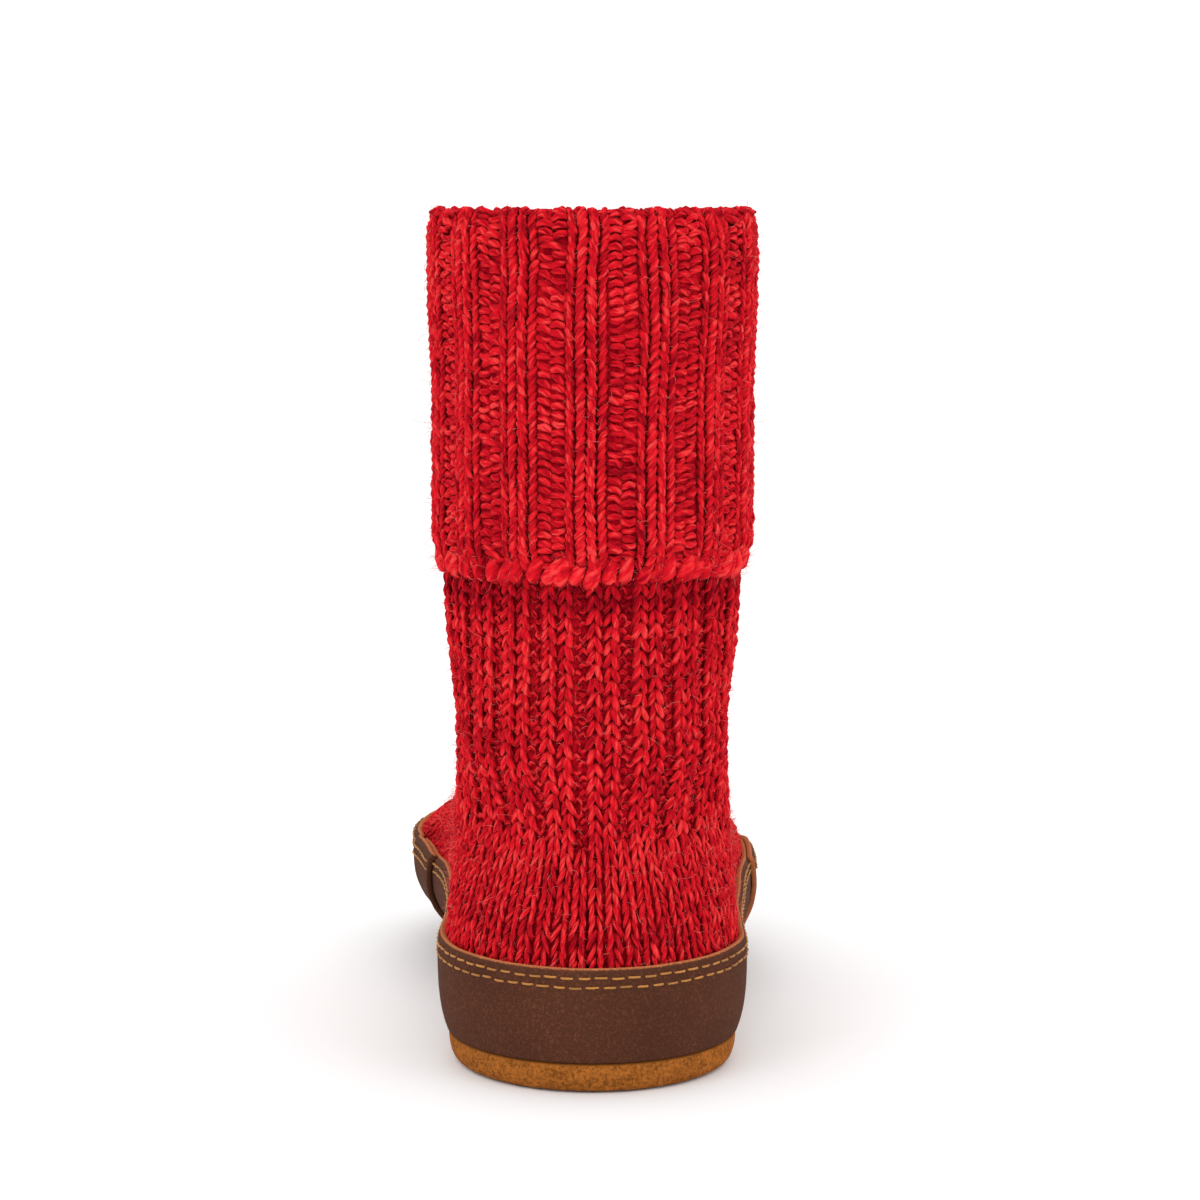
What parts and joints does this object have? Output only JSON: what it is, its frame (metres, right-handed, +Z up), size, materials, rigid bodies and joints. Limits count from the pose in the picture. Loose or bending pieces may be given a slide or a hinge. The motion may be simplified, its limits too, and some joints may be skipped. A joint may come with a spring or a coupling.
{
  "type": "slipper sock",
  "caption": "Knitted slipper sock with a ribbed shaft and turned-down cuff, leather rands round heel and toes, and a soft suede sole.",
  "frame": {"origin": "middle of the shoe's footprint, on the floor plane that the sole stands on", "axes": "+Z up, +Y towards the toe, +X towards the outer side of the right foot"},
  "size_m": [0.1032, 0.255, 0.2245],
  "materials": {
    "wool": "thick marled red wool knit",
    "nubuck": "matt brown nubuck",
    "suede": "napped tan suede",
    "footbed": "wool felt"
  },
  "bodies": {
    "root": {"knit_upper": "wool", "heel_rand": "nubuck", "toe_rand": "nubuck", "sole": "suede", "insole": "footbed"}
  },
  "joints": []
}
